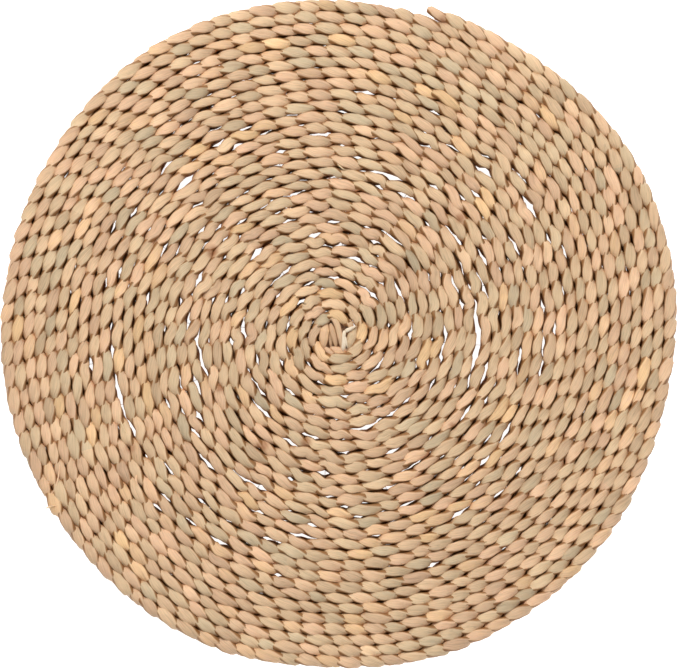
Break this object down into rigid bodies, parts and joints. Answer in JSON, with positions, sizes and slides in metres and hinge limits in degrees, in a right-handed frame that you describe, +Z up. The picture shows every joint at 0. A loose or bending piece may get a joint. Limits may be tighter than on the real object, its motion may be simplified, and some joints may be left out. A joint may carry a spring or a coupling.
{
  "type": "chair seat pad",
  "caption": "Round seat pad of a three-strand dried-leaf plait, stood on edge, coiled from a folded start and sewn turn to turn.",
  "frame": {"origin": "middle of the pad's outline, on the flat underside that rests on the seat", "axes": "+Z up through the pad's thickness, X and Y across it, the plait's outer end lies at about 74 degrees from +X towards +Y"},
  "size_m": [0.3796, 0.3762, 0.015],
  "materials": {
    "leaf_tan": "dried leaf, smooth, slightly satin",
    "leaf_grey_green": "dried leaf, greenish grey",
    "leaf_pinkish": "dried leaf, pinkish tan",
    "leaf_golden": "dried leaf, golden",
    "leaf_brown": "dried leaf, orange brown",
    "pith": "torn pale pith, matt",
    "sewing_thread": "fine waxed thread"
  },
  "bodies": {
    "root": {"sewing_thread_long_rows": "sewing_thread", "sewing_thread_middle_rows": "sewing_thread", "sewing_thread_rim_rows": "sewing_thread", "start_leaf_folded_over": "leaf_tan", "start_leaf_foot": "leaf_tan", "start_leaf_left": "leaf_pinkish", "start_leaf_middle": "leaf_brown", "start_leaf_right": "leaf_tan", "start_pith_strip": "pith", "strand_a_leaf_01": "leaf_grey_green", "strand_a_leaf_02": "leaf_pinkish", "strand_a_leaf_03": "leaf_golden", "strand_a_leaf_04": "leaf_tan", "strand_a_leaf_05": "leaf_brown", "strand_a_leaf_06": "leaf_tan", "strand_a_leaf_07": "leaf_grey_green", "strand_a_leaf_08": "leaf_pinkish", "strand_a_leaf_09": "leaf_golden", "strand_a_leaf_10": "leaf_tan", "strand_a_leaf_11": "leaf_brown", "strand_a_leaf_12": "leaf_tan", "strand_a_leaf_13": "leaf_grey_green", "strand_a_leaf_14": "leaf_pinkish", "strand_b_leaf_01": "leaf_golden", "strand_b_leaf_02": "leaf_tan", "strand_b_leaf_03": "leaf_brown", "strand_b_leaf_04": "leaf_tan", "strand_b_leaf_05": "leaf_grey_green", "strand_b_leaf_06": "leaf_pinkish", "strand_b_leaf_07": "leaf_golden", "strand_b_leaf_08": "leaf_tan", "strand_b_leaf_09": "leaf_brown", "strand_b_leaf_10": "leaf_tan", "strand_b_leaf_11": "leaf_grey_green", "strand_b_leaf_12": "leaf_pinkish", "strand_b_leaf_13": "leaf_golden", "strand_b_leaf_14": "leaf_tan", "strand_c_leaf_01": "leaf_tan", "strand_c_leaf_02": "leaf_brown", "strand_c_leaf_03": "leaf_tan", "strand_c_leaf_04": "leaf_grey_green", "strand_c_leaf_05": "leaf_pinkish", "strand_c_leaf_06": "leaf_golden", "strand_c_leaf_07": "leaf_tan", "strand_c_leaf_08": "leaf_brown", "strand_c_leaf_09": "leaf_tan", "strand_c_leaf_10": "leaf_grey_green", "strand_c_leaf_11": "leaf_pinkish", "strand_c_leaf_12": "leaf_golden", "strand_c_leaf_13": "leaf_tan", "strand_c_leaf_14": "leaf_brown"}
  },
  "joints": []
}
